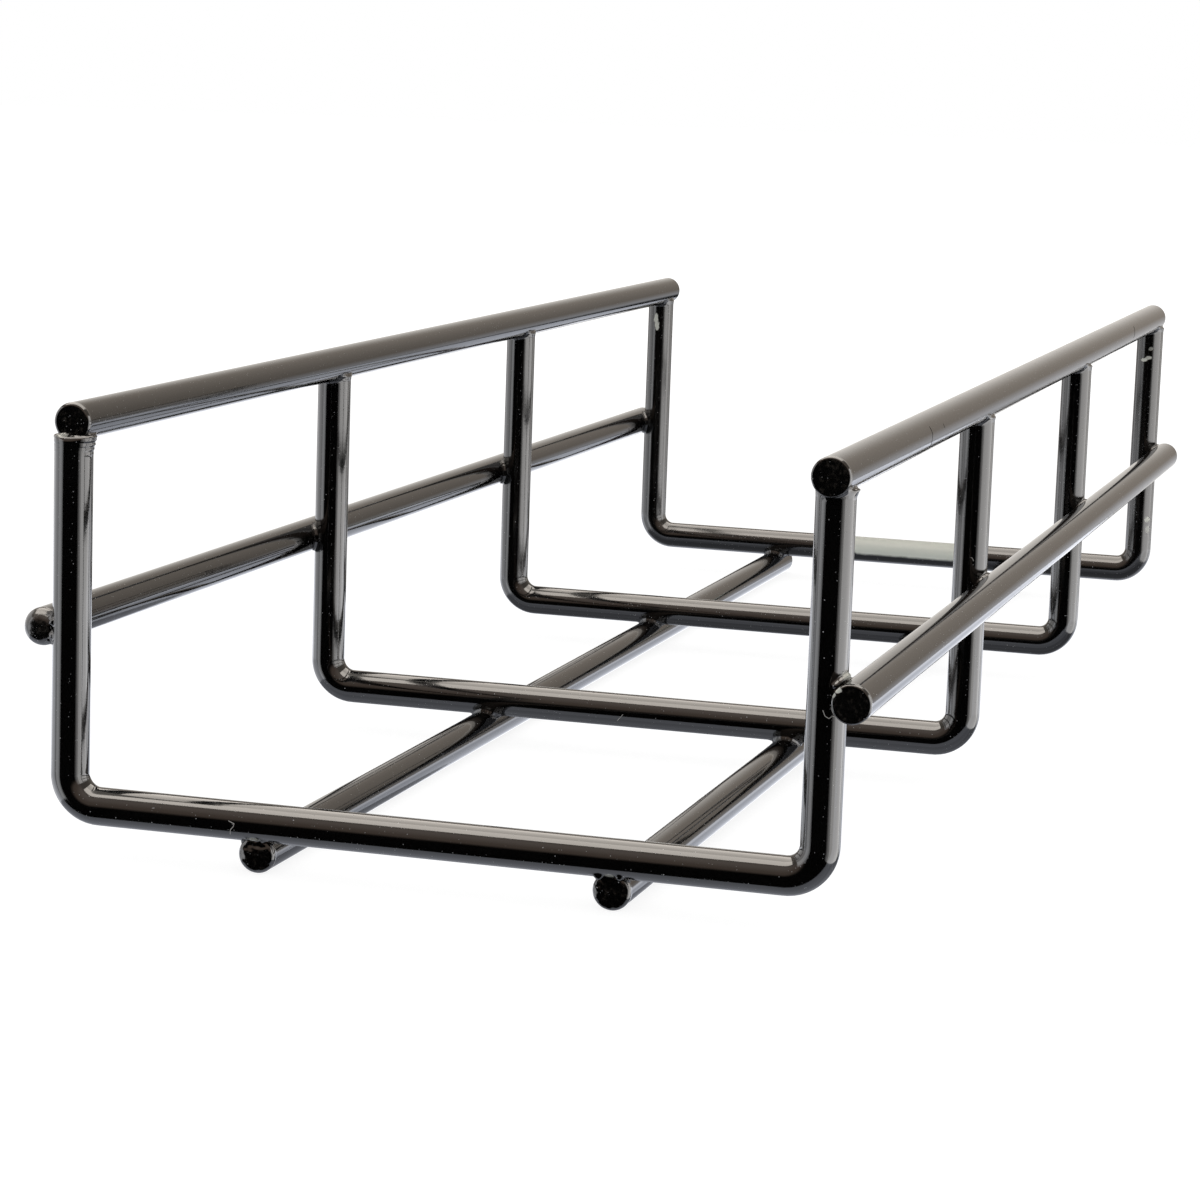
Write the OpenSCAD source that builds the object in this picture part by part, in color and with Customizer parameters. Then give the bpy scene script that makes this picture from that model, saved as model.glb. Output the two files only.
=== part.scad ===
// Wire mesh cable basket: a straight tray of round steel wire, welded and bent to a U.
// Four bent cross wires carry two top wires, two side wires and two bottom wires.
// Millimetres. Origin under the middle of the tray, on the level the bottom wires rest on.
// +Y runs along the tray, +Z points out of its open top.

/* [Wire] */
// Diameter of every wire over its coating
wire_d = 5.3; // [4.5:0.1:6]
// Rounding of the cut edge at the ends of the lengthwise wires
end_round = 0.9; // [0.4:0.1:1.4]

/* [Tray] */
// Clear width between the two walls
inside_w = 100; // [96:1:110]
// Depth from the top of the floor wires to the axis of the top wires
inside_depth = 50; // [44:1:60]
// Inside radius of the bends in the cross wires
bend_inside_r = 1.8; // [1.5:0.1:4]

/* [Mesh] */
// Spacing of the cross wires along the tray
cross_pitch = 100; // [60:5:150]
// Spacing of the bottom and side wires, measured along the axis of a cross wire
long_pitch = 50; // [46:1:54]
// Lengthwise wire past the axis of the first cross wire
front_overhang = 1; // [0.8:0.1:20]
// Lengthwise wire past the axis of the last cross wire
rear_overhang = 6; // [5.5:0.5:45]
// How far the right top wire is set forward of the others
top_right_lead = 2.8; // [0:0.1:5]
// How far the left side wire is set forward of the others
side_left_lead = 0.6; // [0:0.1:5]
// How far the right side wire is set forward of the others
side_right_lead = 5; // [0:0.1:5]

/* [Welds] */
// How far two crossing wires are pressed into each other
set_down = 0.9; // [0.6:0.05:1.2]
// Diameter of the weld neck that fills the crevice at a crossing
neck_d = 4.7; // [4.2:0.1:5]
// Diameter of the flash collar where a leg meets a top wire
collar_d = 6.3; // [6.1:0.1:7]
// Height of the flash collar down the leg
collar_h = 1.6; // [1:0.1:2.4]
// How far below a top wire's axis a leg ends
leg_gap = 1.6; // [1:0.1:1.8]

/* [Hidden] */
$fn = 96;
wire_r = wire_d / 2;
bend_r = bend_inside_r + wire_r;
leg_x = inside_w / 2 + wire_r;
crossing = wire_d - set_down;
bottom_z = wire_r;
floor_z = bottom_z + crossing;
top_z = floor_z + wire_r + inside_depth;
bottom_x = long_pitch / 2;
// Length of wire axis in a quarter bend, and the straight floor wire beside a bottom wire
bend_len = bend_r * PI / 2;
floor_left = leg_x - bend_r - bottom_x;
side_z = floor_z + bend_r + long_pitch - bend_len - floor_left;
side_x = leg_x + crossing;
lead = max(top_right_lead, side_left_lead, side_right_lead);
wire_l = front_overhang + 3 * cross_pitch + rear_overhang;
tray_l = wire_l + lead;
front_y = -tray_l / 2 + lead;
cross_y = front_y + front_overhang;
leg_top = top_z - leg_gap;
collar_r = collar_d / 2;
neck_l = crossing;

// Straight lengthwise wire with rounded cut edges, set forward by its lead
module long_wire(x, z, wire_lead) {
    translate([x, front_y - wire_lead, z])
        rotate([-90, 0, 0])
            rotate_extrude()
                wire_profile();
}

// Half section of a lengthwise wire, its two outer corners rounded
module wire_profile() {
    union() {
        square([wire_r - end_round, wire_l]);
        translate([0, end_round])
            square([wire_r, wire_l - 2 * end_round]);
        for (y = [end_round, wire_l - end_round])
            translate([wire_r - end_round, y])
                circle(r = end_round);
    }
}

// Plain round bar that a lengthwise wire takes up inside a cross wire
module wire_seat(x, y, z) {
    translate([x, y, z])
        rotate([90, 0, 0])
            cylinder(r = wire_r, h = 8 * wire_d, center = true);
}

// Quarter bend from the floor up into the leg on the +X side
module bend() {
    translate([leg_x - bend_r, 0, floor_z + bend_r])
        rotate([90, 0, 0])
            rotate([0, 0, -90])
                rotate_extrude(angle = 90)
                    translate([bend_r, 0])
                        circle(r = wire_r);
}

// Flash collar squeezed out round the top of a leg, tapering down to the leg's own skin
module collar() {
    translate([leg_x, 0, leg_top])
        rotate_extrude()
            polygon([[0, -collar_h], [wire_r, -collar_h], [collar_r, -collar_h * 0.35],
                     [collar_r, -collar_h * 0.1], [collar_r - 0.25, 0], [0, 0]]);
}

// Short neck of weld metal between two crossing wires, along +Z from the cross wire's axis
module neck() {
    cylinder(d = neck_d, h = neck_l);
}

// One wall of a cross wire with its half of the bends and weld metal, on the +X side
module cross_wall() {
    translate([leg_x, 0, floor_z + bend_r])
        cylinder(r = wire_r, h = leg_top - floor_z - bend_r);
    bend();
    collar();
    translate([leg_x, 0, side_z])
        rotate([0, 90, 0])
            neck();
    translate([bottom_x, 0, floor_z])
        rotate([180, 0, 0])
            neck();
}

// U-shaped cross wire before the lengthwise wires are pressed into it
module cross_blank() {
    cross_wall();
    mirror([1, 0, 0])
        cross_wall();
    translate([0, 0, floor_z])
        rotate([0, 90, 0])
            cylinder(r = wire_r, h = 2 * (leg_x - bend_r), center = true);
}

// Cross wire number i, with a saddle in it for each of the six lengthwise wires
module cross_wire(i) {
    translate([0, cross_y + i * cross_pitch, 0])
        difference() {
            cross_blank();
            for (s = [-1, 1]) {
                wire_seat(s * leg_x, 0, top_z);
                wire_seat(s * side_x, 0, side_z);
                wire_seat(s * bottom_x, 0, bottom_z);
            }
        }
}

module cross_wire_1() {
    color([0.03, 0.03, 0.035])
        cross_wire(0);
}

module cross_wire_2() {
    color([0.03, 0.03, 0.035])
        cross_wire(1);
}

module cross_wire_3() {
    color([0.03, 0.03, 0.035])
        cross_wire(2);
}

module cross_wire_4() {
    color([0.03, 0.03, 0.035])
        cross_wire(3);
}

module top_wire_left() {
    color([0.05, 0.05, 0.055])
        long_wire(-leg_x, top_z, 0);
}

module top_wire_right() {
    color([0.05, 0.05, 0.055])
        long_wire(leg_x, top_z, top_right_lead);
}

module side_wire_left() {
    color([0.05, 0.05, 0.055])
        long_wire(-side_x, side_z, side_left_lead);
}

module side_wire_right() {
    color([0.05, 0.05, 0.055])
        long_wire(side_x, side_z, side_right_lead);
}

module bottom_wire_left() {
    color([0.05, 0.05, 0.055])
        long_wire(-bottom_x, bottom_z, 0);
}

module bottom_wire_right() {
    color([0.05, 0.05, 0.055])
        long_wire(bottom_x, bottom_z, 0);
}

cross_wire_1();
cross_wire_2();
cross_wire_3();
cross_wire_4();
top_wire_left();
top_wire_right();
side_wire_left();
side_wire_right();
bottom_wire_left();
bottom_wire_right();
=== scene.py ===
import math

import bpy
import numpy as np
from mathutils import Matrix, Vector


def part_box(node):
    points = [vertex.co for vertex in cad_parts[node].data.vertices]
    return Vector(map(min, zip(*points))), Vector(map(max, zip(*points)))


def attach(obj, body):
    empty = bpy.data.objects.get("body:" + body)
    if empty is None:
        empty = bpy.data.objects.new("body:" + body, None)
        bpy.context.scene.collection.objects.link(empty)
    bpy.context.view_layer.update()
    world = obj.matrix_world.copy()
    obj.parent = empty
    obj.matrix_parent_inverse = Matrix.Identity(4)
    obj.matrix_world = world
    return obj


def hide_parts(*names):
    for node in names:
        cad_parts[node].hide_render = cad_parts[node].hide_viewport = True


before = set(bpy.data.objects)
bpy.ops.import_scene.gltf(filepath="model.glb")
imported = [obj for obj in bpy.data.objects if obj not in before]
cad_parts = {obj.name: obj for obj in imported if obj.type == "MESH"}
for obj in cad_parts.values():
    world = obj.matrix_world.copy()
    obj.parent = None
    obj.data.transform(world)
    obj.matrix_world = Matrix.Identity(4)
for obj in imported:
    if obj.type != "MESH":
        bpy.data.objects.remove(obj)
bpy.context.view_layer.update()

SEED = 20117

# ---------------------------------------------------------------- places, from the CAD, in millimetres


class Rod:
    """A lengthwise wire: its axis, its radius and where it starts and ends."""

    def __init__(self, node):
        lo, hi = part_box(node)
        self.x = 500.0 * (lo.x + hi.x)
        self.z = 500.0 * (lo.z + hi.z)
        self.r = 500.0 * min(hi.x - lo.x, hi.z - lo.z)
        self.y0 = 1000.0 * lo.y
        self.y1 = 1000.0 * hi.y


def middle_y(node):
    """Where a cross wire's axis lies along the tray."""
    lo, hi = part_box(node)
    return 500.0 * (lo.y + hi.y)


RODS = {n: Rod(n) for n in ("top_wire_left", "top_wire_right", "side_wire_left",
                            "side_wire_right", "bottom_wire_left", "bottom_wire_right")}
CROSS = ["cross_wire_1", "cross_wire_2", "cross_wire_3", "cross_wire_4"]
CROSS_Y = {n: middle_y(n) for n in CROSS}
FRONT_Y = CROSS_Y["cross_wire_1"]
REAR_Y = CROSS_Y["cross_wire_4"]

# inside radius of the bends, the same as in the CAD
BEND_INSIDE_R = 1.8
# how far below a top wire's axis the legs' uneven cut tops lie
LEG_CAP_DROP = 1.75

R = min(rod.r for rod in RODS.values())
LEG_X = RODS["top_wire_right"].x
TOP_Z = RODS["top_wire_right"].z
SIDE_X = RODS["side_wire_right"].x
SIDE_Z = RODS["side_wire_right"].z
BOTTOM_X = RODS["bottom_wire_right"].x
BOTTOM_Z = RODS["bottom_wire_right"].z
CROSSING = SIDE_X - LEG_X
FLOOR_Z = BOTTOM_Z + CROSSING
BEND_R = BEND_INSIDE_R + R
LEG_CAP = TOP_Z - LEG_CAP_DROP

# ---------------------------------------------------------------- distance fields

# a lengthwise wire's end in the distance field: its rounding, and how far it is set back from the real end
FIELD_RIM = 0.9
FIELD_SET_BACK = 0.45


def smin(a, b, k):
    """Smooth smallest of two distances, blended over a width k."""
    h = np.maximum(k - np.abs(a - b), 0.0) / k
    return np.minimum(a, b) - h * h * k * 0.25


def capped(radial, along, rim):
    """Distance to a round bar with its corner rounded by rim.

    radial is how far a point lies outside the bar's side, and along how far it lies past the bar's end.
    """
    a = radial + rim
    b = along + rim
    return np.hypot(np.maximum(a, 0), np.maximum(b, 0)) + np.minimum(np.maximum(a, b), 0) - rim


def rod_distance(p, rod):
    """Distance from the points p to a lengthwise wire."""
    q = np.hypot(p[..., 0] - rod.x, p[..., 2] - rod.z) - rod.r
    half = 0.5 * (rod.y1 - rod.y0) - FIELD_SET_BACK
    mid = 0.5 * (rod.y0 + rod.y1)
    return capped(q, np.abs(p[..., 1] - mid) - half, FIELD_RIM)


def waves(p, seed, size, count=7):
    """Soft, repeatable bumps between about -1 and 1, of the given size in millimetres."""
    rng = np.random.default_rng(seed)
    total = np.zeros(p.shape[:-1])
    for _ in range(count):
        d = rng.normal(size=3)
        d *= 2 * math.pi / (np.linalg.norm(d) * size * rng.uniform(0.6, 1.7))
        total += np.sin(p @ d + rng.uniform(0, 2 * math.pi))
    return total / (0.7 * count)


# ---------------------------------------------------------------- meshes of round wire

# vertices round a wire, and the spacing of its rings where it is plain
AROUND = 96
PLAIN_STEP = 4.0


def tube_faces(rings):
    """Faces of a tube closed at each end round a middle vertex, the two that come after the rings."""
    faces = []
    for i in range(rings - 1):
        for j in range(AROUND):
            k = (j + 1) % AROUND
            faces.append((i * AROUND + j, i * AROUND + k, (i + 1) * AROUND + k, (i + 1) * AROUND + j))
    start = rings * AROUND
    last_ring = (rings - 1) * AROUND
    for j in range(AROUND):
        k = (j + 1) % AROUND
        faces.append((start, k, j))
        faces.append((start + 1, last_ring + j, last_ring + k))
    return faces


# ---------------------------------------------------------------- bent cross wires

SPAN = 2 * (LEG_X - BEND_R)
LEG = TOP_Z - FLOOR_Z - BEND_R
ARC = 0.5 * math.pi * BEND_R
LENGTH = 2 * LEG + 2 * ARC + SPAN

# lengths along the U, from either end, at which the top, side and bottom wires cross it
AT_TOP = 0.0
AT_SIDE = TOP_Z - SIDE_Z
AT_BOTTOM = LEG + ARC + (LEG_X - BEND_R - BOTTOM_X)

# how far along the wire from a crossing the weld's shape is worked out
WELD_REACH = 7
# how far a weld may stand out past the plain wire
MOST_RELIEF = 1.25
# how far below a lengthwise wire's skin the cross wire's own surface runs where the two meet
ROD_OFFSET = 0.05
# spacing of the fine rings in the flash
RIPPLE_LENGTH = 0.62


def centreline(s):
    """Point and direction on the U at length s from the left top wire's axis, in the XZ plane."""
    s = np.asarray(s, float)
    px, pz, tx, tz = (np.empty_like(s) for _ in range(4))
    low = FLOOR_Z + BEND_R
    a = s < LEG
    px[a], pz[a], tx[a], tz[a] = -LEG_X, TOP_Z - s[a], 0.0, -1.0
    b = (s >= LEG) & (s < LEG + ARC)
    t = (s[b] - LEG) / BEND_R
    px[b], pz[b] = -LEG_X + BEND_R * (1 - np.cos(t)), low - BEND_R * np.sin(t)
    tx[b], tz[b] = np.sin(t), -np.cos(t)
    c = (s >= LEG + ARC) & (s < LEG + ARC + SPAN)
    px[c], pz[c], tx[c], tz[c] = -LEG_X + BEND_R + s[c] - LEG - ARC, FLOOR_Z, 1.0, 0.0
    d = (s >= LEG + ARC + SPAN) & (s < LEG + 2 * ARC + SPAN)
    t = (s[d] - LEG - ARC - SPAN) / BEND_R
    px[d], pz[d] = LEG_X - BEND_R + BEND_R * np.sin(t), low - BEND_R * np.cos(t)
    tx[d], tz[d] = np.cos(t), np.sin(t)
    e = s >= LEG + 2 * ARC + SPAN
    px[e], pz[e], tx[e], tz[e] = LEG_X, low + s[e] - (LEG + 2 * ARC + SPAN), 0.0, 1.0
    return px, pz, tx, tz


def ring_places():
    """Lengths along the U for the rings: close together at welds and bends, far apart on plain wire."""
    half = 0.5 * LENGTH
    # where, the spacing there, and how far to each side it holds
    marks = [(AT_TOP, 0.15, 4.2), (AT_SIDE, 0.18, 3.6), (LEG + 0.5 * ARC, 0.34, 0.5 * ARC + 0.4),
             (AT_BOTTOM, 0.18, 3.6)]
    places = [0.0]
    while places[-1] < half:
        s = places[-1]
        step = PLAIN_STEP
        for at, fine, reach in marks:
            step = min(step, fine + 0.35 * max(0.0, abs(s - at) - reach))
        places.append(s + step)
    places = np.array(places) * (half / places[-1])
    return np.concatenate([places, (LENGTH - places[:-1])[::-1]])


# flash squeezed out round the top of a leg: how far it stands out, how far down it reaches, its ripple
FLARE = {
    ("cross_wire_1", -1): (0.58, 2.8, 0.08), ("cross_wire_1", 1): (0.50, 1.3, 0.02),
    ("cross_wire_2", -1): (0.20, 0.9, 0.04), ("cross_wire_2", 1): (0.22, 0.8, 0.02),
    ("cross_wire_3", -1): (0.16, 1.0, 0.02), ("cross_wire_3", 1): (0.20, 1.0, 0.02),
    ("cross_wire_4", -1): (0.16, 1.0, 0.02), ("cross_wire_4", 1): (0.18, 1.0, 0.02),
}


def leg_top(p, r, node, cy, number):
    """Distance to the leg with its cut and flared top, for points at radius r from the wire's axis."""
    side = np.where(p[..., 0] > 0, 1.0, -1.0)
    reach = np.hypot(p[..., 0] - side * LEG_X, p[..., 1] - cy) + 1e-6
    right = (p[..., 0] - side * LEG_X) / reach
    ahead = np.clip((cy - p[..., 1]) / reach, 0, 1) * (1.0 if node == CROSS[0] else 0.0)
    out, down, ripple = (np.where(side > 0, a, b) for a, b in zip(FLARE[node, 1], FLARE[node, -1]))
    below = np.clip(LEG_CAP - p[..., 2], 0, None)
    fade = np.clip(1 - below / down, 0, 1)
    share = 0.28 + 0.72 * (0.5 + 0.5 * right) ** 1.6
    share = share * (1 - 0.75 * ahead)
    lip = out * share * (fade ** 1.7)
    rings = np.sin(2 * math.pi * below / RIPPLE_LENGTH + 1.4 * right)
    lip = lip + ripple * share * rings * fade ** 0.5 * (below > 0)
    lip = lip * (1 + 0.25 * waves(p, SEED + 71 * number, 1.4))
    rim = 0.26 + np.where(side > 0, 1.2, 0.5) * ahead ** 2
    cut = p[..., 2] - LEG_CAP - 0.10 * waves(p, SEED + 31 * number, 2.2)
    return capped(r - R - lip, cut, rim)


# melted beads on the near side of the first cross wire: x, y from the wire's axis, z, radius
FRONT_LUMPS = [
    (BOTTOM_X - 1.45, -1.55, BOTTOM_Z + 2.15, 0.55),
    (BOTTOM_X + 1.40, -1.60, BOTTOM_Z + 2.30, 0.50),
    (-BOTTOM_X - 0.8, -1.65, BOTTOM_Z + 2.45, 0.30),
    (-BOTTOM_X - 0.1, -1.72, BOTTOM_Z + 2.35, 0.24),
    (-BOTTOM_X + 0.6, -1.72, BOTTOM_Z + 2.40, 0.34),
    (-BOTTOM_X + 1.4, -1.55, BOTTOM_Z + 2.15, 0.28),
    (-LEG_X - 1.2, -1.55, LEG_CAP - 0.20, 0.55),
    (-LEG_X - 0.3, -1.80, LEG_CAP - 0.25, 0.45),
    (LEG_X + 2.7, -0.9, SIDE_Z + 2.7, 0.50),
]
# beads in the line over the near right side weld, and random beads round each side or bottom weld
LINE_BEADS = 8
WELD_BEADS = 15


def random_bead(rng, lowest, highest):
    """Angle round a weld, distance from its middle, radius, and shift along its own axis."""
    turn = rng.uniform(0, 2 * math.pi)
    out = rng.uniform(1.45, 2.15)
    size = rng.uniform(0.24, 0.46)
    return turn, out, size, rng.uniform(lowest, highest)


def weld_lumps(rng, node):
    """Beads of melted metal and coat on a cross wire: x, y from the wire's axis, z, radius."""
    lumps = []
    if node == CROSS[0]:
        lumps += FRONT_LUMPS
        for k in range(LINE_BEADS):
            along = k / (LINE_BEADS - 1) + rng.uniform(-0.04, 0.04)
            lumps.append((LEG_X + 2.6 - 1.1 * along, -1.4 - 1.1 * along, SIDE_Z + 2.6 - 1.0 * along,
                          rng.uniform(0.16, 0.30)))
    for side in (-1, 1):
        for _ in range(WELD_BEADS):
            turn, out, size, shift = random_bead(rng, -0.35, 0.25)
            mid = side * (LEG_X + 0.5 * CROSSING + shift)
            lumps.append((mid, out * math.cos(turn), SIDE_Z + out * math.sin(turn), size))
        for _ in range(WELD_BEADS):
            turn, out, size, shift = random_bead(rng, -0.25, 0.35)
            # the first cross wire has no random beads on the near and left sides of its bottom welds
            if node == CROSS[0] and (math.sin(turn) < -0.3 or math.cos(turn) < -0.3):
                continue
            mid = FLOOR_Z - 0.5 * CROSSING + shift
            lumps.append((side * BOTTOM_X + out * math.cos(turn), out * math.sin(turn), mid, size))
    return np.array(lumps)


def surface_radius(field, shape):
    """Radius at which the field along each ray turns from inside to outside, by steps and then refined."""
    limit = R + MOST_RELIEF
    grid = np.linspace(0.25, limit, 30)
    found = np.full(shape, limit)
    unfound = np.ones(shape, bool)
    last = field(np.full(shape, grid[0]))
    for a, b in zip(grid[:-1], grid[1:]):
        value = field(np.full(shape, b))
        hit = unfound & (last <= 0) & (value > 0)
        found[hit] = (a + (b - a) * (-last / np.where(value == last, 1, value - last)))[hit]
        unfound &= ~hit
        last = value
    nudge = 0.01
    for _ in range(3):
        f0, f1 = field(found), field(found + nudge)
        slope = np.clip((f1 - f0) / nudge, 0.25, 4)
        step = np.clip(-f0 / slope, -0.08, 0.08)
        found = np.where(unfound, found, np.clip(found + step, 0.2, limit))
    return found


def cross_wire(node, number):
    """Vertices and faces of one bent wire, its rings swollen to the surface of its welds."""
    rng = np.random.default_rng(SEED + number)
    cy = CROSS_Y[node]
    s = ring_places()
    px, pz, tx, tz = centreline(s)
    n = len(s)
    ang = np.linspace(0, 2 * math.pi, AROUND, endpoint=False)
    normal = np.stack([tz, np.zeros(n), -tx], 1)
    across = np.array([0.0, 1.0, 0.0])
    direction = np.cos(ang)[None, :, None] * normal[:, None, :] + np.sin(ang)[None, :, None] * across
    origin = np.stack([px, np.full(n, cy), pz], 1)[:, None, :] + 0 * direction
    lumps = weld_lumps(rng, node)
    rods = [RODS[k] for k in sorted(RODS)]
    near = np.zeros(n, bool)
    for at in (AT_TOP, AT_SIDE, AT_BOTTOM):
        near |= (np.abs(s - at) < WELD_REACH) | (np.abs(LENGTH - s - at) < WELD_REACH)
    o, d = origin[near], direction[near]

    def field(r):
        p = o + d * r[..., None]
        wide = 0.75 + 0.22 * waves(p, SEED + 57 * number, 2.2)
        wide = np.clip(wide, 0.35, 1.2)
        if node == CROSS[0]:
            # sharper crevices on the near side, at the bottom welds and at the left leg's top
            wide = np.where((p[..., 1] < cy - 0.5) & (p[..., 2] < FLOOR_Z), 0.2, wide)
            crevice = np.clip(0.55 - 0.7 * (p[..., 0] + LEG_X), 0.08, 1.3)
            left_top = (p[..., 1] < cy - 0.6) & (p[..., 2] > SIDE_Z + 8) & (p[..., 0] < 0)
            wide = np.where(left_top, crevice, wide)
        value = leg_top(p, r, node, cy, number)
        for rod in rods:
            value = smin(value, rod_distance(p, rod) + ROD_OFFSET, wide)
        for x, y, z, size in lumps:
            q = p - np.array([x, cy + y, z])
            value = smin(value, np.sqrt((q * q).sum(-1)) - size, 0.3)
        return value

    radius = np.full((n, AROUND), R)
    radius[near] = surface_radius(field, o.shape[:2])
    points = origin + direction * radius[..., None]
    verts = np.vstack([points.reshape(-1, 3), [[-LEG_X, cy, TOP_Z]], [[LEG_X, cy, TOP_Z]]])
    return verts, tube_faces(n)


# ---------------------------------------------------------------- lengthwise wires

# front end, then rear end: rounding of the cut edge, how far the cut face is domed, unevenness of the face
ENDS = {
    "top_wire_left": ((0.42, 0.12, 0.020), (0.95, 0.10, 0.03)),
    "top_wire_right": ((0.30, 0.06, 0.015), (0.95, 0.10, 0.03)),
    "side_wire_left": ((1.35, 0.55, 0.050), (1.0, 0.15, 0.03)),
    "side_wire_right": ((0.32, 0.10, 0.020), (1.0, 0.15, 0.03)),
    "bottom_wire_left": ((0.75, 0.30, 0.150), (1.0, 0.15, 0.03)),
    "bottom_wire_right": ((0.70, 0.20, 0.110), (1.0, 0.15, 0.03)),
}
# rings on one cut face, and the rings just behind it, where the spacing widens to that of plain wire
FACE_RINGS = 30
NEAR_END = (0.03, 0.10, 0.25, 0.6, 1.4, 2.8)
# what a ring belongs to
FRONT_FACE, REAR_FACE, WALL = 0, 1, 2


def end_profile(rim, swell, r):
    """(radius, depth from the foremost point) from the middle of the cut face to the plain wire."""
    out = []
    for i in range(1, FACE_RINGS + 1):
        q = r * math.sin(0.5 * math.pi * i / FACE_RINGS)
        u = min(max((q - r + rim) / rim, 0.0), 1.0)
        out.append((q, swell * (q / r) ** 2 + rim * (1 - math.sqrt(1 - u * u))))
    return out


def long_wire(node, number):
    """Vertices and faces of one lengthwise wire with its two uneven cut ends."""
    rod = RODS[node]
    front, rear = (end_profile(rim, swell, rod.r) for rim, swell, _ in ENDS[node])
    rough_front, rough_rear = (rough for _, _, rough in ENDS[node])
    rings = [(q, rod.y0 + d, FRONT_FACE) for q, d in front]
    start, stop = rings[-1][1], rod.y1 - rear[-1][1]
    rings += [(rod.r, start + d, WALL) for d in NEAR_END]
    plain = stop - start - 2 * PLAIN_STEP
    count = int(plain / PLAIN_STEP)
    rings += [(rod.r, start + PLAIN_STEP + plain * i / count, WALL) for i in range(count + 1)]
    rings += [(rod.r, stop - d, WALL) for d in reversed(NEAR_END)]
    rings += [(q, rod.y1 - d, REAR_FACE) for q, d in reversed(rear)]
    ang = np.linspace(0, 2 * math.pi, AROUND, endpoint=False)
    q = np.array([a for a, _, _ in rings])[:, None]
    y = np.array([b for _, b, _ in rings])[:, None]
    kind = np.array([c for _, _, c in rings])[:, None]
    pts = np.stack([rod.x + q * np.cos(ang), y + 0 * ang, rod.z + q * np.sin(ang)], -1)
    dent = 0.5 + 0.5 * waves(pts, SEED + 400 + number, 1.3, 9)
    dent += 0.5 * (0.5 + 0.5 * waves(pts, SEED + 500 + number, 0.55, 9))
    dent = np.clip(dent, 0, 1.5)
    keep = np.clip((rod.r - q) / 0.5, 0, 1)
    inward = np.where(kind == FRONT_FACE, rough_front * dent * keep, 0)
    pts[..., 1] += inward - np.where(kind == REAR_FACE, rough_rear * dent * keep, 0)
    # the rim itself is a little uneven, always inwards
    soft = np.where(kind == WALL, 0, 1) * np.clip(1 - np.abs(rod.r - q) / 0.6, 0, 1)
    soft = soft * np.where(q < rod.r - 1e-6, 1, 0)
    pull = 1 - 0.02 * soft * (0.5 + 0.5 * waves(pts, SEED + 600 + number, 2.0))
    pts[..., 0] = rod.x + (pts[..., 0] - rod.x) * pull
    pts[..., 2] = rod.z + (pts[..., 2] - rod.z) * pull
    verts = np.vstack([pts.reshape(-1, 3), [[rod.x, rod.y0, rod.z]], [[rod.x, rod.y1, rod.z]]])
    verts[-2, 1] = pts[0, :, 1].mean()
    verts[-1, 1] = pts[-1, :, 1].mean()
    return verts, tube_faces(len(rings))


def add_piece(name, verts, faces, material, *nodes):
    """Make a visible piece from millimetres, turn its faces outwards and hand it to the frame."""
    verts = np.asarray(verts, float) * 0.001
    tri = []
    for f in faces:
        tri.append((f[0], f[1], f[2]))
        if len(f) == 4:
            tri.append((f[0], f[2], f[3]))
    t = verts[np.array(tri)]
    volume = np.einsum("ij,ij->i", t[:, 0], np.cross(t[:, 1], t[:, 2])).sum()
    if volume < 0:
        faces = [tuple(reversed(f)) for f in faces]
    mesh = bpy.data.meshes.new(name)
    mesh.from_pydata([tuple(v) for v in verts], [], faces)
    mesh.validate()
    mesh.polygons.foreach_set("use_smooth", [True] * len(mesh.polygons))
    mesh.materials.append(material)
    mesh.update()
    obj = bpy.data.objects.new(name, mesh)
    bpy.context.scene.collection.objects.link(obj)
    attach(obj, "root")
    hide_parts(*nodes)
    return obj


# ---------------------------------------------------------------- materials

COAT_DEEP = (0.0008, 0.0007, 0.0007, 1)
COAT_THIN = (0.0026, 0.0024, 0.0023, 1)
DUST = (0.42, 0.42, 0.43, 1)
CUT_MOTTLE = (0.020, 0.017, 0.014, 1)
PALE_MARK = (0.55, 0.56, 0.50, 1)
FIBRE = (0.55, 0.53, 0.50, 1)
PATCH_LOW = (0.60, 0.63, 0.56, 1)
PATCH_HIGH = (0.74, 0.77, 0.70, 1)
# painted shade for the top of the bare patch
PATCH_TOP_PAINTED_SHADE = (0.35, 0.37, 0.33, 1)


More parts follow.
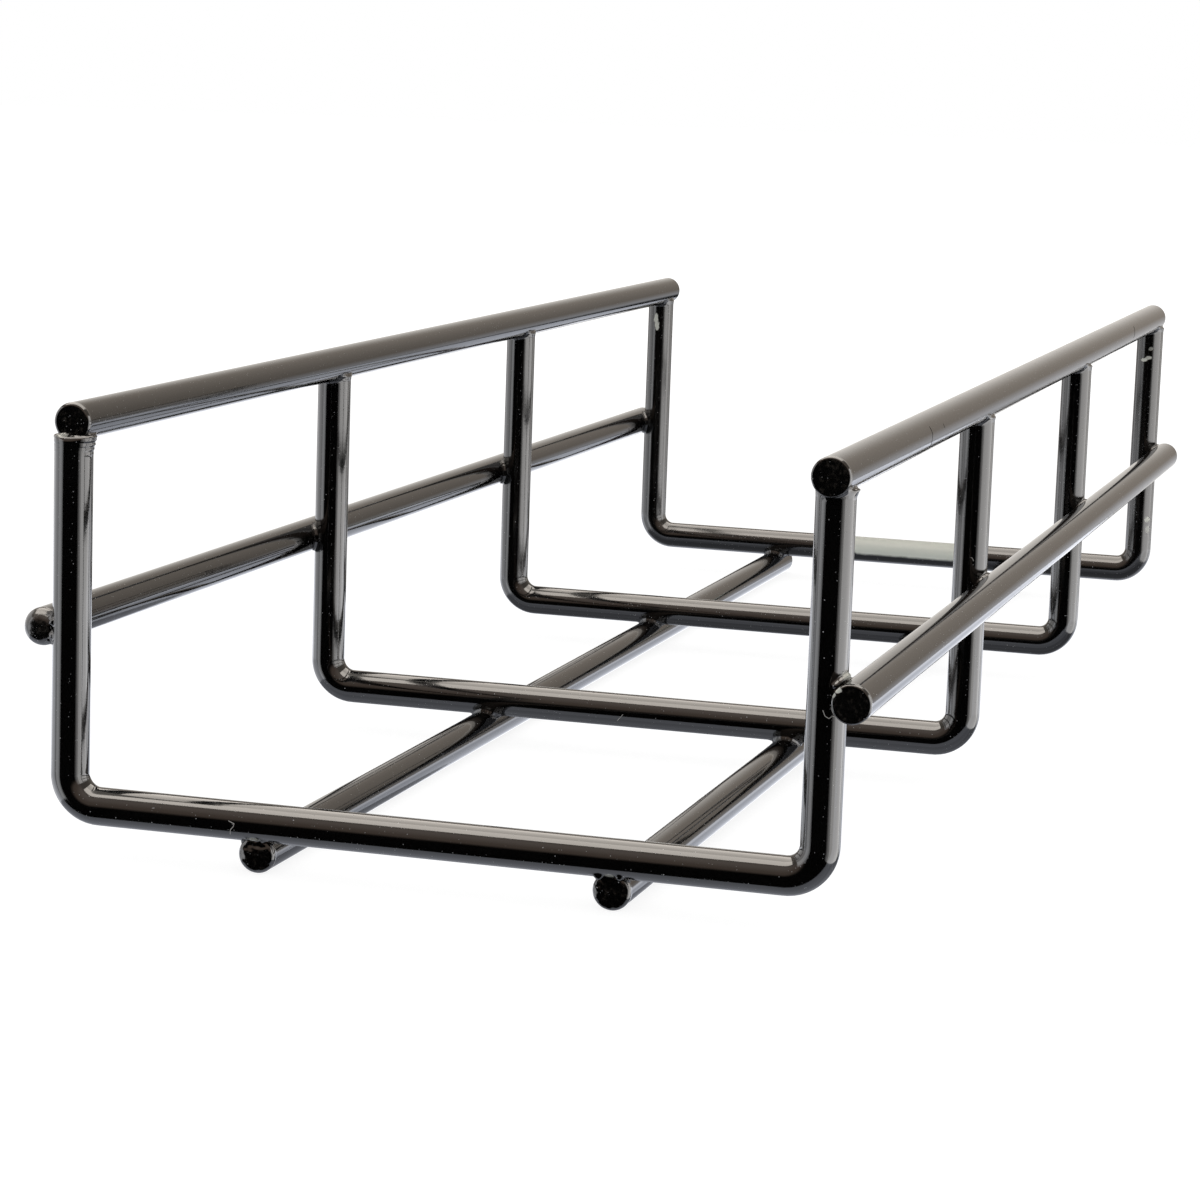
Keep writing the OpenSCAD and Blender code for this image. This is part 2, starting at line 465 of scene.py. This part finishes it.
class Graph:
    """Short calls for building a node tree."""

    def __init__(self, tree):
        self.tree = tree
        self.nodes = tree.nodes
        self.links = tree.links

    def node(self, kind, **settings):
        nd = self.nodes.new(kind)
        for key, value in settings.items():
            setattr(nd, key, value)
        return nd

    def link(self, out, into):
        self.links.new(out, into)

    def feed(self, socket, value):
        if isinstance(value, bpy.types.NodeSocket):
            self.links.new(value, socket)
        else:
            socket.default_value = value

    def math(self, op, a, b, clamp=False):
        nd = self.node("ShaderNodeMath", operation=op, use_clamp=clamp)
        self.feed(nd.inputs[0], a)
        self.feed(nd.inputs[1], b)
        return nd.outputs[0]

    def vmath(self, op, a, b=None):
        nd = self.node("ShaderNodeVectorMath", operation=op)
        self.feed(nd.inputs[0], a)
        if b is not None:
            self.feed(nd.inputs[1], b)
        return nd.outputs["Value"] if op in ("LENGTH", "DOT_PRODUCT") else nd.outputs[0]

    def parts(self, value, kind="ShaderNodeSeparateXYZ"):
        """The three numbers that a vector or a colour is made of."""
        nd = self.node(kind)
        self.link(value, nd.inputs[0])
        return nd.outputs[0], nd.outputs[1], nd.outputs[2]

    def ramp(self, value, lo, hi, to_lo=0.0, to_hi=1.0, smooth=True):
        nd = self.node("ShaderNodeMapRange", interpolation_type="SMOOTHSTEP" if smooth else "LINEAR")
        self.feed(nd.inputs["Value"], value)
        for key, v in (("From Min", lo), ("From Max", hi), ("To Min", to_lo), ("To Max", to_hi)):
            nd.inputs[key].default_value = v
        return nd.outputs["Result"]

    def mix(self, fac, a, b):
        nd = self.node("ShaderNodeMix", data_type="RGBA")
        self.feed(nd.inputs["Factor"], fac)
        self.feed([i for i in nd.inputs if i.name == "A" and i.type == "RGBA"][0], a)
        self.feed([i for i in nd.inputs if i.name == "B" and i.type == "RGBA"][0], b)
        return [o for o in nd.outputs if o.type == "RGBA"][0]

    def noise(self, vector, scale, detail=2.0, rough=0.5, stretch=None):
        if stretch is not None:
            vector = self.vmath("MULTIPLY", vector, stretch)
        nd = self.node("ShaderNodeTexNoise", noise_dimensions="3D")
        self.feed(nd.inputs["Vector"], vector)
        nd.inputs["Scale"].default_value = scale
        nd.inputs["Detail"].default_value = detail
        nd.inputs["Roughness"].default_value = rough
        return nd.outputs["Fac"]

    def cells(self, vector, scale):
        nd = self.node("ShaderNodeTexVoronoi", voronoi_dimensions="3D", feature="F1")
        self.feed(nd.inputs["Vector"], vector)
        nd.inputs["Scale"].default_value = scale
        return nd.outputs["Distance"], nd.outputs["Color"]

    def blob(self, place, centre, reach, edge, wobble):
        """1 inside an ellipsoid at centre with those half axes in millimetres, falling to 0 at its edge."""
        d = self.vmath("SUBTRACT", place, centre)
        d = self.vmath("DIVIDE", d, reach)
        length = self.math("ADD", self.vmath("LENGTH", d), wobble)
        return self.ramp(length, 1.0 + edge, 1.0 - edge)

    def strand(self, place, points, flat, width):
        """1 on a thin line through points, seen along the axis that flat leaves out."""
        place = self.vmath("MULTIPLY", place, flat)
        mask = None
        for a, b in zip(points[:-1], points[1:]):
            a = Vector([u * v for u, v in zip(a, flat)])
            b = Vector([u * v for u, v in zip(b, flat)])
            along = b - a
            from_a = self.vmath("SUBTRACT", place, tuple(a))
            shadow = self.vmath("DOT_PRODUCT", from_a, tuple(along))
            t = self.math("DIVIDE", shadow, along.length_squared, clamp=True)
            foot = self.node("ShaderNodeVectorMath", operation="SCALE")
            foot.inputs[0].default_value = tuple(along)
            self.feed(foot.inputs["Scale"], t)
            gap = self.vmath("LENGTH", self.vmath("SUBTRACT", from_a, foot.outputs[0]))
            part = self.ramp(gap, width, 0.4 * width)
            mask = part if mask is None else self.math("MAXIMUM", mask, part)
        return mask


def coat_material(name, faces=(), chips_and_painted_glints=(), strands=(), lines=(), patch=None, dull=0.0):
    """Glossy black powder coat.

    faces: cut ends, each with its bumps, swells, lowest and highest added roughness.
    chips_and_painted_glints: pale marks, each with its middle, half axes and strength; some are coat knocked
    off, the others painted highlights.
    strands: stray pale fibres caught on the coat. lines: dark hairlines across a wire.
    patch: a mask for bare metal. dull: how much less gloss the coat has.
    """
    mat = bpy.data.materials.new(name)
    mat.use_nodes = True
    g = Graph(mat.node_tree)
    g.nodes.clear()
    out = g.node("ShaderNodeOutputMaterial")
    shader = g.node("ShaderNodeBsdfPrincipled")
    g.link(shader.outputs[0], out.inputs["Surface"])
    coord = g.node("ShaderNodeTexCoord").outputs["Object"]
    place = g.vmath("MULTIPLY", coord, (1000.0, 1000.0, 1000.0))
    _, place_y, place_z = g.parts(place)

    # the coat: deep black, faintly uneven in tone and gloss
    tone = g.noise(place, 0.35, 3.0)
    base = g.mix(tone, COAT_DEEP, COAT_THIN)
    gloss = g.ramp(g.noise(place, 0.22, 3.0), 0.3, 0.7, 0.055 + dull, 0.115 + dull)

    # dust: sparse pale grains of two sizes
    dist, rand = g.cells(place, 0.95)
    red, _, blue = g.parts(rand, "ShaderNodeSeparateColor")
    grain = g.math("MULTIPLY", g.ramp(dist, 0.10, 0.045), g.ramp(red, 0.50, 0.56))
    dist2, rand2 = g.cells(place, 2.1)
    _, green, _ = g.parts(rand2, "ShaderNodeSeparateColor")
    fine = g.math("MULTIPLY", g.ramp(dist2, 0.20, 0.09), g.ramp(green, 0.66, 0.74))
    dust = g.math("MAXIMUM", grain, g.math("MULTIPLY", fine, 0.6), clamp=True)
    strength = g.ramp(blue, 0.1, 1.0, 0.25, 0.9)
    base = g.mix(g.math("MULTIPLY", dust, strength), base, DUST)
    gloss = g.math("ADD", gloss, g.math("MULTIPLY", dust, 0.5))

    # relief of the coat: a fine one and a long one
    height = g.math("MULTIPLY", g.noise(place, 0.8, 2.0), 0.0035)
    long_relief = g.noise(place, 0.16, 1.0, stretch=(1.0, 0.4, 0.6))
    height = g.math("ADD", height, g.math("MULTIPLY", long_relief, 0.010))

    # cut end faces: the same coat over rough cut metal, mottled and a little duller
    for lo, hi, bumps, swell, least, most in faces:
        m = g.ramp(place_y, lo, hi)
        mottle = g.noise(place, 1.5, 4.0, 0.65)
        broad = g.noise(place, 0.5, 1.0)
        base = g.mix(g.math("MULTIPLY", m, g.ramp(mottle, 0.50, 0.78)), base, CUT_MOTTLE)
        gloss = g.math("ADD", gloss, g.math("MULTIPLY", m, g.ramp(mottle, 0.35, 0.7, least, most)))
        lift = g.math("ADD", g.math("MULTIPLY", mottle, bumps), g.math("MULTIPLY", broad, swell))
        height = g.math("ADD", height, g.math("MULTIPLY", m, lift))

    # pale marks: some are coat knocked off down to bright metal, the others painted highlights that stand
    # for glints on the coat
    for centre, reach, amount in chips_and_painted_glints:
        edge = g.math("MULTIPLY", g.math("SUBTRACT", g.noise(place, 1.1, 4.0, 0.7), 0.5), 1.6)
        m = g.math("MULTIPLY", g.blob(place, centre, reach, 0.25, edge), amount)
        base = g.mix(m, base, PALE_MARK)
        gloss = g.math("ADD", gloss, g.math("MULTIPLY", m, 0.4))
        height = g.math("SUBTRACT", height, g.math("MULTIPLY", m, 0.04))

    for points, flat, width in strands:
        m = g.strand(place, points, flat, width)
        base = g.mix(g.math("MULTIPLY", m, 0.60), base, FIBRE)
        gloss = g.math("ADD", gloss, g.math("MULTIPLY", m, 0.5))

    # a hairline is rougher and reflects less, down to nothing in its middle
    shine = None
    for points, flat, width in lines:
        m = g.strand(place, points, flat, width)
        gloss = g.math("ADD", gloss, g.math("MULTIPLY", m, 0.5))
        dim = g.math("SUBTRACT", 0.5, g.math("MULTIPLY", m, 0.5))
        shine = dim if shine is None else g.math("MINIMUM", shine, dim)
    if shine is not None:
        g.link(shine, shader.inputs["Specular IOR Level"])

    if patch is not None:
        m = patch(g, place)
        streaks = g.noise(place, 0.5, 3.0, stretch=(0.25, 1, 1))
        tint = g.mix(streaks, PATCH_LOW, PATCH_HIGH)
        # painted shade: the bare patch is darker towards its top, where the lamps light it most
        tint = g.mix(g.ramp(place_z, FLOOR_Z + 0.3, FLOOR_Z + 2.5), tint, PATCH_TOP_PAINTED_SHADE)
        base = g.mix(m, base, tint)
        gloss = g.math("ADD", gloss, g.math("MULTIPLY", m, 0.42))
        height = g.math("SUBTRACT", height, g.math("MULTIPLY", m, 0.05))

    g.link(base, shader.inputs["Base Color"])
    g.link(g.math("MINIMUM", gloss, 0.8), shader.inputs["Roughness"])
    shader.inputs["IOR"].default_value = 1.6
    bump = g.node("ShaderNodeBump")
    bump.inputs["Strength"].default_value = 1.0
    bump.inputs["Distance"].default_value = 0.001
    g.link(height, bump.inputs["Height"])
    g.link(bump.outputs[0], shader.inputs["Normal"])
    return mat


# ---------------------------------------------------------------- the pieces

PIECE = {
    "cross_wire_1": "bent_wire_front", "cross_wire_2": "bent_wire_second",
    "cross_wire_3": "bent_wire_third", "cross_wire_4": "bent_wire_rear",
    "top_wire_left": "top_rod_left", "top_wire_right": "top_rod_right",
    "side_wire_left": "side_rod_left", "side_wire_right": "side_rod_right",
    "bottom_wire_left": "bottom_rod_left", "bottom_wire_right": "bottom_rod_right",
}


def bare_patch(g, place):
    """Coat missing on the upper front of the rear floor wire, from left to right of its middle."""
    x, y, z = g.parts(place)
    wob = g.math("MULTIPLY", g.math("SUBTRACT", g.noise(place, 0.6, 3.0), 0.5), 1.0)
    along = g.math("ADD", x, wob)
    low = g.ramp(x, -7.9, -6.4, -0.1, -0.7)
    down = g.math("ADD", g.math("SUBTRACT", z, FLOOR_Z), g.math("MULTIPLY", wob, 0.35))
    m = g.math("MULTIPLY", g.ramp(along, -8.2, -7.8), g.ramp(along, 18.6, 17.4))
    m = g.math("MULTIPLY", m, g.ramp(g.math("SUBTRACT", down, low), -0.35, 0.35))
    return g.math("MULTIPLY", m, g.ramp(y, REAR_Y + 1.6, REAR_Y + 1.0))


# what a line is seen along: the tray's length, or its width
XZ = (1.0, 0.0, 1.0)
YZ = (0.0, 1.0, 1.0)

# painted highlights: pale marks that stand for the bright glints on the first cross wire's near welds, not
# for bare metal
FRONT_PAINTED_GLINTS = (
    ((-LEG_X - 0.9, FRONT_Y - 1.9, LEG_CAP + 0.1), (0.8, 0.8, 0.32), 0.5),
    ((-BOTTOM_X + 0.3, FRONT_Y - 1.7, BOTTOM_Z + 2.45), (0.9, 0.7, 0.25), 0.4),
    ((BOTTOM_X + 0.1, FRONT_Y - 1.7, BOTTOM_Z + 2.4), (0.6, 0.7, 0.30), 0.4),
    ((LEG_X + 2.7, FRONT_Y - 1.2, SIDE_Z + 2.8), (0.6, 0.8, 0.6), 0.6),
)
# painted highlights, as above: pale marks for the bright glints on the rim of the right side wire's cut face
RIM_PAINTED_GLINTS = {"side_wire_right": (
    ((SIDE_X - 1.85, RODS["side_wire_right"].y0 + 0.3, SIDE_Z + 1.75), (0.55, 0.7, 0.40), 0.9),
    ((SIDE_X - 2.35, RODS["side_wire_right"].y0 + 0.3, SIDE_Z + 1.05), (0.30, 0.6, 0.30), 0.6),
)}
# coat knocked off the rear cross wire, at the tops of its legs and low on the right one
REAR_CHIPS = (
    ((-LEG_X - 0.35, REAR_Y - R, FLOOR_Z + 46.9), (0.50, 1.2, 1.1), 1.0),
    ((-LEG_X - 0.05, REAR_Y - R, FLOOR_Z + 45.5), (0.48, 1.2, 1.0), 1.0),
    ((LEG_X - 0.65, REAR_Y - R, FLOOR_Z + 44.2), (0.62, 1.2, 0.36), 1.0),
    ((LEG_X + 0.25, REAR_Y - R, FLOOR_Z + 44.7), (0.60, 1.2, 0.34), 0.8),
    ((LEG_X + 0.7, REAR_Y - R, FLOOR_Z + 46.6), (0.50, 1.2, 0.36), 0.45),
    ((LEG_X + 1.9, REAR_Y - 1.85, FLOOR_Z + 11.0), (0.50, 1.0, 0.50), 1.0),
    ((LEG_X + 1.95, REAR_Y - 1.80, FLOOR_Z + 8.9), (0.32, 1.0, 0.80), 0.45),
)
# stray fibres: points, what they are seen along, half width
FRONT_FIBRES = (
    (((-28.2, 0, FLOOR_Z + 0.4), (-27.4, 0, FLOOR_Z + 0.1), (-27.5, 0, FLOOR_Z - 0.3),
      (-27.95, 0, FLOOR_Z - 0.8), (-28.1, 0, FLOOR_Z - 1.5)), XZ, 0.07),
    (((LEG_X + 0.1, 0, FLOOR_Z + 22.6), (LEG_X + 0.4, 0, FLOOR_Z + 21.9), (LEG_X + 0.9, 0, FLOOR_Z + 21.6),
      (LEG_X + 1.3, 0, FLOOR_Z + 21.9), (LEG_X + 1.65, 0, FLOOR_Z + 21.8)), XZ, 0.065),
    (((LEG_X + 1.1, 0, FLOOR_Z + 23.0), (LEG_X + 1.3, 0, FLOOR_Z + 22.4), (LEG_X + 1.6, 0, FLOOR_Z + 22.0)),
     XZ, 0.065),
)
SECOND_FIBRES = (
    (((-2.5, 0, FLOOR_Z - 1.35), (-1.5, 0, FLOOR_Z - 0.2)), XZ, 0.06),
    (((LEG_X + 0.5, 0, FLOOR_Z + 29.2), (LEG_X + 0.75, 0, FLOOR_Z + 29.1), (LEG_X + 0.9, 0, FLOOR_Z + 28.7)),
     XZ, 0.06),
)
HAIRLINES = {"top_wire_right": (
    (((0, FRONT_Y + 49.2, TOP_Z + 1.4), (0, FRONT_Y + 49.6, TOP_Z + 0.5), (0, FRONT_Y + 49.5, TOP_Z - 0.4),
      (0, FRONT_Y + 50.0, TOP_Z - 1.5)), YZ, 0.26),
    (((0, FRONT_Y + 58.4, TOP_Z + 1.0), (0, FRONT_Y + 58.7, TOP_Z + 0.5)), YZ, 0.18),
    (((0, FRONT_Y + 256.4, TOP_Z + 1.3), (0, FRONT_Y + 255.0, TOP_Z - 0.5)), YZ, 0.30),
)}
CROSS_COATS = {
    "cross_wire_1": {"chips_and_painted_glints": FRONT_PAINTED_GLINTS, "strands": FRONT_FIBRES},
    "cross_wire_2": {"strands": SECOND_FIBRES},
    "cross_wire_3": {"dull": 0.02},
    "cross_wire_4": {"dull": 0.06, "patch": bare_patch, "chips_and_painted_glints": REAR_CHIPS},
}
# front cut faces: how deep the rough coat reaches, its bumps, its swells, lowest and highest added roughness
FACES = {
    "top_wire_left": (0.5, 0.010, 0.05, 0.00, 0.08), "top_wire_right": (0.5, 0.012, 0.03, 0.01, 0.10),
    "side_wire_left": (1.2, 0.010, 0.10, 0.08, 0.18), "side_wire_right": (0.5, 0.012, 0.06, 0.02, 0.12),
    "bottom_wire_left": (0.7, 0.006, 0.26, 0.00, 0.08), "bottom_wire_right": (0.8, 0.008, 0.10, 0.00, 0.10),
}
# the same for every rear cut face, after its own depths
REAR_COAT = (0.012, 0.0, 0.02, 0.15)

for index, node in enumerate(CROSS):
    verts, faces = cross_wire(node, index)
    coat = coat_material("coat_" + PIECE[node], **CROSS_COATS[node])
    add_piece(PIECE[node], verts, faces, coat, node)
for index, node in enumerate(sorted(RODS)):
    verts, faces = long_wire(node, index)
    rod = RODS[node]
    deep, *front_coat = FACES[node]
    cut_faces = ((rod.y0 + 2 * deep, rod.y0 + deep, *front_coat), (rod.y1 - 1.0, rod.y1 - 0.4, *REAR_COAT))
    coat = coat_material("coat_" + PIECE[node], faces=cut_faces, chips_and_painted_glints=RIM_PAINTED_GLINTS.get(node, ()),
                         lines=HAIRLINES.get(node, ()))
    add_piece(PIECE[node], verts, faces, coat, node)

# ---------------------------------------------------------------- floor, world, lamps, camera

# What the glossy coat reflects is fitted to the photo's view: the world shows glossy rays a dim room and not
# the white that the camera sees, the floor lets them through, and each lamp marked gloss lights only them.
FLOOR_RADIUS = 4.0
FLOOR_SIDES = 64
FLOOR_LIT = (0.93, 0.945, 0.97, 1)
FLOOR_SEEN = (0.32, 0.32, 0.32, 1)
# how bright the floor looks beside the object, and how much brighter far from it
FLOOR_GLOW = 0.86
FAR_GLOW = 0.14
BLACK = (0.0, 0.0, 0.0, 1)
# direction to the brightest place on the backdrop
BACKDROP_LIT = (-0.2756, 0.9613, 0.0)


def stage_floor():
    """A round pale floor that keeps the object's shadow and turns white with distance."""
    mesh = bpy.data.meshes.new("studio_floor")
    turns = np.linspace(0, 2 * math.pi, FLOOR_SIDES, endpoint=False)
    ring = [(FLOOR_RADIUS * math.cos(a), FLOOR_RADIUS * math.sin(a), 0.0) for a in turns]
    mesh.from_pydata(ring, [], [tuple(range(FLOOR_SIDES))])
    mat = bpy.data.materials.new("pale_floor")
    mat.use_nodes = True
    g = Graph(mat.node_tree)
    g.nodes.clear()
    out = g.node("ShaderNodeOutputMaterial")
    coord = g.node("ShaderNodeTexCoord").outputs["Object"]
    far = g.ramp(g.vmath("LENGTH", coord), 0.30, 0.75)
    path = g.node("ShaderNodeLightPath")
    seen = g.math("MAXIMUM", path.outputs["Is Camera Ray"], path.outputs["Is Transmission Ray"])
    lit = g.node("ShaderNodeBsdfDiffuse")
    g.feed(lit.inputs["Color"], g.mix(seen, FLOOR_LIT, FLOOR_SEEN))
    glow = g.node("ShaderNodeEmission")
    glow.inputs["Color"].default_value = (1, 1, 1, 1)
    level = g.math("ADD", g.math("MULTIPLY", far, FAR_GLOW), FLOOR_GLOW)
    g.link(g.math("MULTIPLY", seen, level), glow.inputs["Strength"])
    shown = g.node("ShaderNodeAddShader")
    g.link(lit.outputs[0], shown.inputs[0])
    g.link(glow.outputs[0], shown.inputs[1])
    clear = g.node("ShaderNodeBsdfTransparent")
    last = g.node("ShaderNodeMixShader")
    g.link(path.outputs["Is Glossy Ray"], last.inputs[0])
    g.link(shown.outputs[0], last.inputs[1])
    g.link(clear.outputs[0], last.inputs[2])
    g.link(last.outputs[0], out.inputs["Surface"])
    mesh.materials.append(mat)
    obj = bpy.data.objects.new("studio_floor", mesh)
    bpy.context.scene.collection.objects.link(obj)


def studio_world():
    """White to the camera, plain grey to matt surfaces, and a dim studio to glossy ones."""
    world = bpy.data.worlds.new("studio_world")
    bpy.context.scene.world = world
    world.use_nodes = True
    g = Graph(world.node_tree)
    g.nodes.clear()
    out = g.node("ShaderNodeOutputWorld")
    path = g.node("ShaderNodeLightPath")
    ray = g.node("ShaderNodeTexCoord").outputs["Generated"]
    _, ray_y, ray_z = g.parts(ray)
    # in front of the object the room is black below the horizon and dim and warm above it
    front = g.ramp(ray_y, -0.25, -0.60)
    dusk = g.mix(g.ramp(ray_z, 0.02, 0.30), BLACK, (0.68, 0.52, 0.42, 1))
    room = g.mix(g.ramp(ray_z, 0.30, 0.80), dusk, (1.10, 0.92, 0.80, 1))
    # behind it a backdrop lit from one place, and the edge of the light table below
    below = g.mix(g.ramp(ray_z, 0.0, -0.22, smooth=False), (0.44, 0.39, 0.34, 1), (0.76, 0.78, 0.84, 1))
    below = g.mix(g.ramp(ray_z, -0.15, -0.23), below, BLACK)
    wall = g.mix(g.ramp(ray_z, 0.0, 0.32, smooth=False), below, (0.60, 0.53, 0.46, 1))
    lit = g.vmath("DOT_PRODUCT", ray, BACKDROP_LIT)
    glow = g.ramp(lit, 0.90, 1.0)
    back = g.mix(g.math("MULTIPLY", glow, 0.6), wall, (1.20, 1.16, 1.10, 1))
    studio = g.mix(front, back, room)
    seen = g.math("MAXIMUM", path.outputs["Is Camera Ray"], path.outputs["Is Transmission Ray"])
    colour = g.mix(path.outputs["Is Glossy Ray"], (0.68, 0.68, 0.68, 1), studio)
    colour = g.mix(seen, colour, (1, 1, 1, 1))
    bg = g.node("ShaderNodeBackground")
    g.link(colour, bg.inputs["Color"])
    bg.inputs["Strength"].default_value = 1.0
    g.link(bg.outputs[0], out.inputs["Surface"])


def softbox(name, at, aim, size, gloss, plain, colour):
    """A rectangular lamp in two parts.

    gloss is how bright its face looks in the coat, and that part lights no matt surface. plain is how bright
    it lights matt surfaces, where white paper is 1, and that part shows in no reflection.
    """
    for part, level in (("gloss", gloss), ("plain", plain)):
        if not level:
            continue
        data = bpy.data.lights.new(name + "_" + part, "AREA")
        data.shape = "RECTANGLE"
        data.size, data.size_y = size
        data.energy = level * math.pi * size[0] * size[1]
        data.color = colour
        obj = bpy.data.objects.new(name + "_" + part, data)
        bpy.context.scene.collection.objects.link(obj)
        obj.location = at
        obj.rotation_euler = (Vector(aim) - Vector(at)).to_track_quat("-Z", "Y").to_euler()
        obj.visible_camera = False
        obj.visible_glossy = part == "gloss"
        obj.visible_diffuse = part == "plain"


# lamps, in metres; "near" and "far" are measured along the tray from the first cross wire
RIGHT_COLOUR = (1.0, 0.98, 0.96)
LEFT_COLOUR = (0.97, 0.98, 1.0)
OVER_COLOUR = (1.0, 0.93, 0.85)
TABLE_COLOUR = (0.92, 0.96, 1.07)
SIDE_HEIGHT = 0.9
# name, x, near, far, gloss, plain, colour
SIDE_LAMPS = (
    ("right", 0.75, -0.33, 0.66, 2.1, 0.8, RIGHT_COLOUR),
    ("right_wide", 0.76, -0.52, 0.67, 1.1, 0.0, RIGHT_COLOUR),
    ("right_edge", 0.77, -0.68, 0.68, 0.7, 0.0, RIGHT_COLOUR),
    ("right_back", 0.78, 0.66, 1.60, 1.3, 0.0, (1.0, 0.97, 0.93)),
    ("left", -0.75, -0.62, 0.65, 1.25, 0.6, LEFT_COLOUR),
    ("left_edge", -0.76, -0.80, -0.27, 1.5, 0.0, LEFT_COLOUR),
)
# name, middle along the tray, height, length, gloss, plain
OVER_X = -0.25
OVER_WIDTH = 1.5
OVER_LAMPS = (
    ("over", 0.44, 1.0, 1.72, 4.4, 0.8),
    ("over_edge", -0.16, 0.98, 0.52, 2.4, 0.0),
)
# strips of a light table under the floor, seen only in the coat: near, far, gloss
TABLE_Z = -0.105
TABLE_WIDTH = 1.6
TABLE_STRIPS = (
    (-0.065, 0.03, 1.05),
    (0.03, 0.12, 0.85),
    (0.12, 0.20, 0.55),
    (0.20, 0.34, 0.35),
    (0.34, 0.905, 1.05),
)


def studio_lamps():
    base_y = 0.001 * FRONT_Y
    for name, x, near, far, gloss, plain, colour in SIDE_LAMPS:
        y = base_y + 0.5 * (near + far)
        softbox(name, (x, y, 0.0), (0.0, y, 0.0), (far - near, SIDE_HEIGHT), gloss, plain, colour)
    for name, middle, height, length, gloss, plain in OVER_LAMPS:
        y = base_y + middle
        softbox(name, (OVER_X, y, height), (OVER_X, y, 0.0), (OVER_WIDTH, length), gloss, plain, OVER_COLOUR)
    for near, far, gloss in TABLE_STRIPS:
        y = base_y + 0.5 * (near + far)
        size = (TABLE_WIDTH, far - near)
        softbox("table", (0.0, y, TABLE_Z), (0.0, y, 1.0), size, gloss, 0.0, TABLE_COLOUR)


# the camera: lens and sensor width in millimetres, angles in degrees, and its place in millimetres
# from the middle of the first cross wire's floor run
LENS = 106.141
SENSOR_WIDTH = 36.0
CAMERA_ANGLES = (15.994, 9.045, -2.018)
CAMERA_PLACE = (147.094, -436.592, 106.387)


def photo_camera():
    """A camera with azimuth, elevation and roll, at the photograph's viewing angle."""
    data = bpy.data.cameras.new("camera")
    data.sensor_width = SENSOR_WIDTH
    data.sensor_fit = "HORIZONTAL"
    data.lens = LENS
    data.clip_start = 0.01
    az, el, roll = (math.radians(v) for v in CAMERA_ANGLES)
    fwd = Vector((-math.sin(az) * math.cos(el), math.cos(az) * math.cos(el), -math.sin(el)))
    level_right = Vector((math.cos(az), math.sin(az), 0.0))
    level_down = fwd.cross(level_right)
    right = math.cos(roll) * level_right + math.sin(roll) * level_down
    down = -math.sin(roll) * level_right + math.cos(roll) * level_down
    turn = Matrix((right, -down, -fwd)).transposed().to_4x4()
    x, y, z = CAMERA_PLACE
    at = Vector((x, FRONT_Y + y, FLOOR_Z + z)) * 0.001
    obj = bpy.data.objects.new("camera", data)
    bpy.context.scene.collection.objects.link(obj)
    obj.matrix_world = Matrix.Translation(at) @ turn
    bpy.context.scene.camera = obj


stage_floor()
studio_world()
studio_lamps()
photo_camera()
bpy.context.scene.view_settings.view_transform = "Standard"
